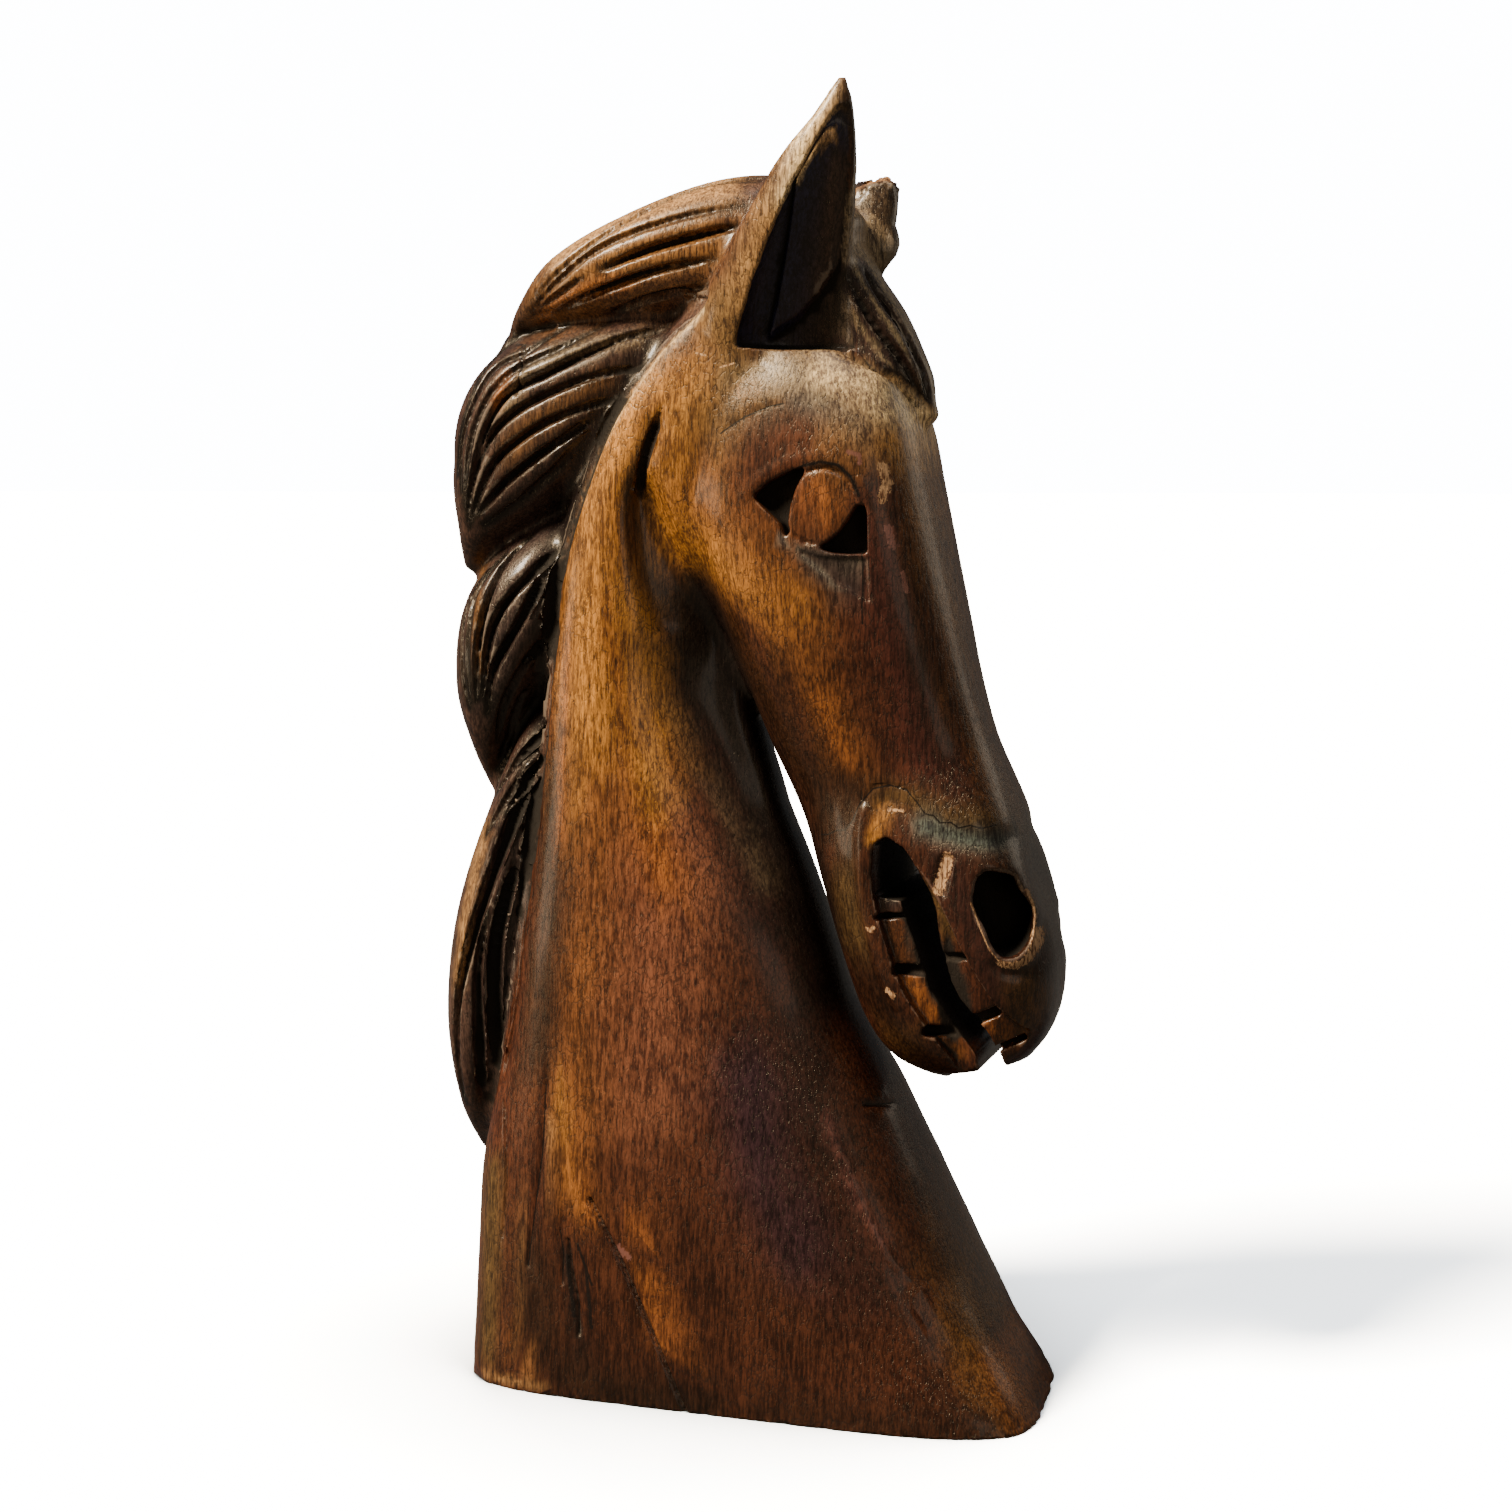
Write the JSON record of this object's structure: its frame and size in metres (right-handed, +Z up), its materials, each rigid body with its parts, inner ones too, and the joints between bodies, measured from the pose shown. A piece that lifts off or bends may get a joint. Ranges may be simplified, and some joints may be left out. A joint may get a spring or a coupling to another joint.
{
  "type": "wooden horse head sculpture",
  "caption": "Carved dark stained wooden horse head with pricked ears, open mouth and a mane of twisted locks, standing on the sawn flat foot of its own neck; a decorative statue.",
  "frame": {"origin": "centre of the carving plan on the flat underside of the neck's foot", "axes": "+Z up, +X the way the horse faces, -Y its right side, which is the side in the picture"},
  "size_m": [0.2468, 0.1173, 0.4999],
  "materials": {
    "stained_wood": "dark stained and varnished, satin, worn to golden brown on the high places"
  },
  "bodies": {
    "root": {"horse_head": "stained_wood"}
  },
  "joints": []
}
